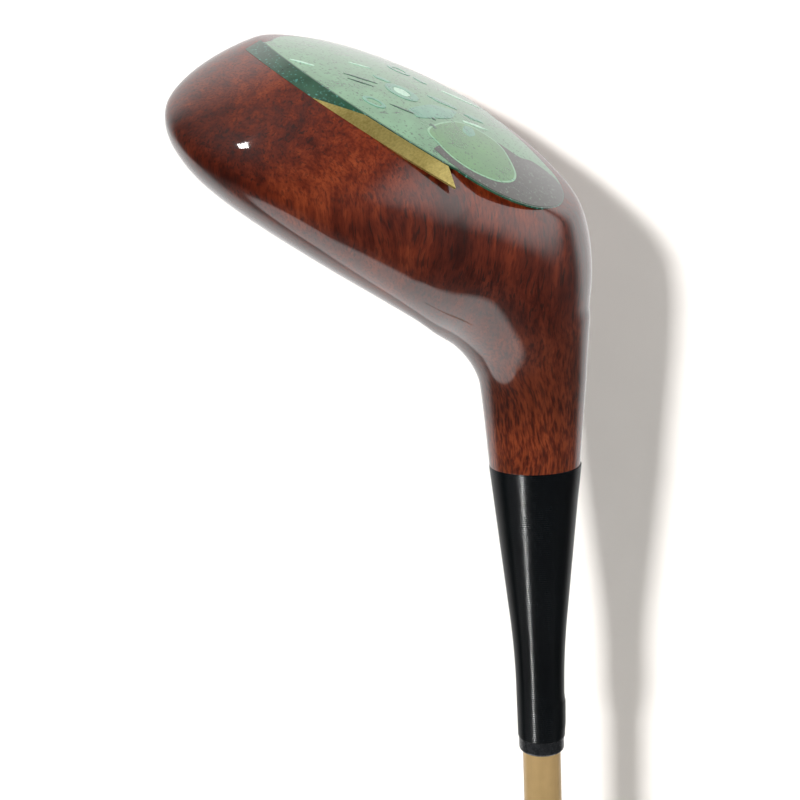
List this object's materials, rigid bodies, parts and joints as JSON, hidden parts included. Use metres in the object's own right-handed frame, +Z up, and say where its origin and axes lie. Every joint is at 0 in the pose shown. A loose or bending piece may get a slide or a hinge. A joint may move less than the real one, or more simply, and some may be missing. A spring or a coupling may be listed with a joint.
{
  "type": "golf driver",
  "caption": "Golf driver with a glossy hardwood head, enamelled sole plate, brass back weight, whipped neck, stepped shaft and slip-on grip.",
  "frame": {"origin": "centre of the grip cap's end face, where the club stands on its butt", "axes": "+Z up the shaft to the head, -X towards the toe, +Y towards the face"},
  "size_m": [0.0863, 0.075, 1.1208],
  "materials": {
    "head_wood": "red-brown stained hardwood under thick clear gloss lacquer",
    "insert_resin": "dark red resin, polished flush",
    "brass_screws": "bright turned brass",
    "plate_metal": "brass plate, its rim and edge coated dark green",
    "enamel_green": "polished green enamel",
    "enamel_dark": "polished near-black brown enamel",
    "enamel_leaf": "polished leaf-green enamel",
    "enamel_turquoise": "polished turquoise enamel",
    "weight_brass": "satin brass",
    "lead": "dull cast lead",
    "cork": "plain cork",
    "ferrule_plastic": "polished black plastic",
    "whipping_thread": "tight waxed black thread",
    "shaft_gold": "satin gold lacquer over steel",
    "tape": "adhesive cloth tape",
    "grip_rubber": "matt moulded rubber",
    "cap_rubber": "matt moulded rubber"
  },
  "bodies": {
    "root": {"head_body": "head_wood", "face_insert": "insert_resin", "face_insert_screws": "brass_screws", "sole_plate": "plate_metal", "sole_plate_screws": "brass_screws", "sole_enamel_field": "enamel_green", "sole_dark_field": "enamel_dark", "sole_lobe": "enamel_leaf", "sole_marks": "enamel_turquoise", "back_weight": "weight_brass", "back_weight_screws": "brass_screws", "lead_slug": "lead", "lead_hole_plug": "cork", "neck_pin": "brass_screws", "neck_ferrule": "ferrule_plastic", "neck_whipping": "whipping_thread", "whipping_end_band": "whipping_thread", "shaft": "shaft_gold", "shaft_tip_plug": "cork", "grip_tape": "tape", "grip_sleeve": "grip_rubber", "grip_cap": "cap_rubber"}
  },
  "joints": []
}
